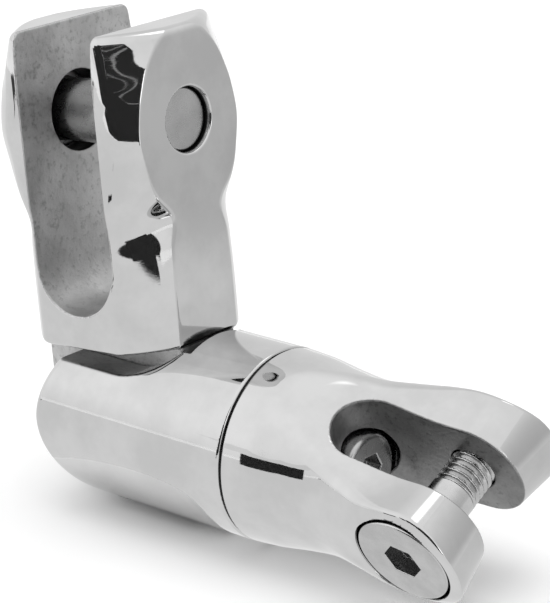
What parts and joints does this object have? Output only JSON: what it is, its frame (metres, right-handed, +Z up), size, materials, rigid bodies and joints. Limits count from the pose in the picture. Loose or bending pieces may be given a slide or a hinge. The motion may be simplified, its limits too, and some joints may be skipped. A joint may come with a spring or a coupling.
{
  "type": "anchor swivel",
  "caption": "Boat anchor swivel in polished stainless steel: a hinged fork with a pin for the anchor's shank, a solid barrel, and a swivelling fork with a socket screw for the chain.",
  "frame": {"origin": "middle of the anchor pin, between the two ears of the anchor fork, where the anchor's shank is fastened", "axes": "+X along the barrel from the hinge towards the chain fork, +Y along the hinge pin, +Z up beside the raised anchor fork"},
  "size_m": [0.1004, 0.035, 0.0871],
  "materials": {
    "polished_steel": "mirror-polished stainless steel",
    "satin_steel": "satin turned stainless steel"
  },
  "bodies": {
    "barrel": {"swivel_barrel": "polished_steel", "hinge_pin": "polished_steel", "swivel_shaft": "satin_steel", "shaft_dowel": "satin_steel", "thrust_washer": "satin_steel", "head_washer": "satin_steel"},
    "anchor_end": {"anchor_fork": "polished_steel"},
    "anchor_pin": {"anchor_pin": "satin_steel"},
    "chain_end": {"chain_fork": "polished_steel"},
    "chain_bolt": {"chain_bolt": "satin_steel"}
  },
  "joints": [
    {"name": "fork_hinge", "type": "hinge", "parent": "barrel", "child": "anchor_end", "pos_m": [0.0046, 0, -0.0526], "axis": [0, 1, 0], "range_deg": [-132, 0]},
    {"name": "chain_swivel", "type": "hinge", "parent": "barrel", "child": "chain_end", "pos_m": [0.0046, 0, -0.0526], "axis": [1, 0, 0], "continuous": true},
    {"name": "anchor_pin_slide", "type": "slide", "parent": "anchor_end", "child": "anchor_pin", "axis": [-0.9962, 0, -0.0872], "range_m": [0, 0.034]},
    {"name": "chain_bolt_slide", "type": "slide", "parent": "chain_end", "child": "chain_bolt", "axis": [0, -0.891, -0.454], "range_m": [0, 0.032]}
  ]
}
